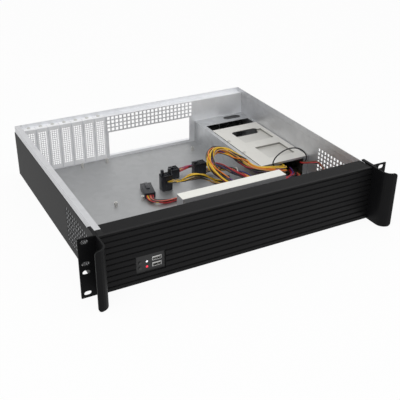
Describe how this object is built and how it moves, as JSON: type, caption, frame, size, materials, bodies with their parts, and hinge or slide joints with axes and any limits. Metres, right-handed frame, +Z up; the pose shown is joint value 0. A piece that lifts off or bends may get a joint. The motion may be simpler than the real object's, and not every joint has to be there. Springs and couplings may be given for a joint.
{
  "type": "rackmount server case",
  "caption": "Short-depth two-unit rackmount server case without its lid: folded steel tray, grooved front plate with handles, perforated rear wall and a flat power supply with its wiring.",
  "frame": {"origin": "middle of the footprint's box (handles' front to rear edge), on the surface that it stands on", "axes": "+X to the right seen from the front, +Y from the handles to the rear, +Z up"},
  "size_m": [0.4826, 0.425, 0.0881],
  "materials": {
    "bezel_black": "satin black anodised aluminium",
    "black_paint": "fine textured black powder coat",
    "black_plastic": "moulded black plastic",
    "brass": "turned brass, plain",
    "bright_strip": "cream-white zinc plate",
    "can_sleeve": "dark heat-shrunk sleeve",
    "cover_steel": "plain bright sheet steel",
    "fan_plastic": "glass-filled black plastic",
    "housing_steel": "plain galvanised sheet steel",
    "lamp_red": "clear red lens",
    "lamp_white": "clear white lens",
    "pcb_green": "solder-masked glass fibre board",
    "port_steel": "nickel-plated steel",
    "screw_black": "black oxide steel",
    "screw_steel": "zinc-plated steel",
    "sink_aluminium": "extruded, plain",
    "transformer_tape": "yellow wrapping tape",
    "white_plastic": "moulded white plastic",
    "wire_black": "thin black wire",
    "wire_mixed": "thin coloured wires laid side by side",
    "zinc_steel": "galvanised sheet steel, satin; the outside of the sides is painted black"
  },
  "bodies": {
    "case": {"board_posts": "brass", "bridge_screws": "screw_steel", "button_switches": "black_plastic", "chassis_tray": "zinc_steel", "control_board": "pcb_green", "control_insert": "black_plastic", "drive_bridge": "bright_strip", "drive_lamp": "lamp_red", "ear_screws_left": "screw_black", "ear_screws_right": "screw_black", "front_bezel": "bezel_black", "front_frame": "black_paint", "handle_left": "black_paint", "handle_right": "black_paint", "plug_board": "black_plastic", "plug_card": "black_plastic", "plug_drive": "black_plastic", "plug_main": "black_plastic", "plug_processor": "black_plastic", "plug_side": "black_plastic", "port_shells": "port_steel", "port_tongues": "white_plastic", "power_lamp": "lamp_white", "psu_board": "pcb_green", "psu_capacitors": "can_sleeve", "psu_cover": "cover_steel", "psu_cover_screws": "screw_steel", "psu_fan_frame": "fan_plastic", "psu_fan_guard": "port_steel", "psu_heat_sink": "sink_aluminium", "psu_housing": "housing_steel", "psu_inlet": "black_plastic", "psu_inlet_pins": "port_steel", "psu_mount_screws": "screw_steel", "psu_posts": "housing_steel", "psu_transformer": "transformer_tape", "rack_ear_left": "black_paint", "rack_ear_right": "black_paint", "rear_panel": "zinc_steel", "slot_cover_1": "zinc_steel", "slot_cover_2": "zinc_steel", "slot_cover_3": "zinc_steel", "slot_cover_4": "zinc_steel", "slot_cover_5": "zinc_steel", "slot_cover_6": "zinc_steel", "slot_cover_7": "zinc_steel", "slot_screws": "screw_steel", "wire_board": "wire_mixed", "wire_card": "wire_mixed", "wire_drive": "wire_mixed", "wire_lead": "wire_black", "wire_main": "wire_mixed", "wire_processor": "wire_mixed", "wire_side": "wire_mixed"},
    "power_button": {"power_button": "black_plastic"},
    "reset_button": {"reset_button": "black_plastic"},
    "fan_rotor": {"psu_fan_rotor": "fan_plastic"}
  },
  "joints": [
    {"name": "power_press", "type": "slide", "parent": "case", "child": "power_button", "axis": [0, 1, 0], "range_m": [0, 0.0012], "stiffness_N_per_m": 400},
    {"name": "reset_press", "type": "slide", "parent": "case", "child": "reset_button", "axis": [0, 1, 0], "range_m": [0, 0.0012], "stiffness_N_per_m": 400},
    {"name": "fan_spin", "type": "hinge", "parent": "case", "child": "fan_rotor", "pos_m": [0.1867, 0.1845, 0.02085], "axis": [0, 1, 0], "continuous": true}
  ]
}
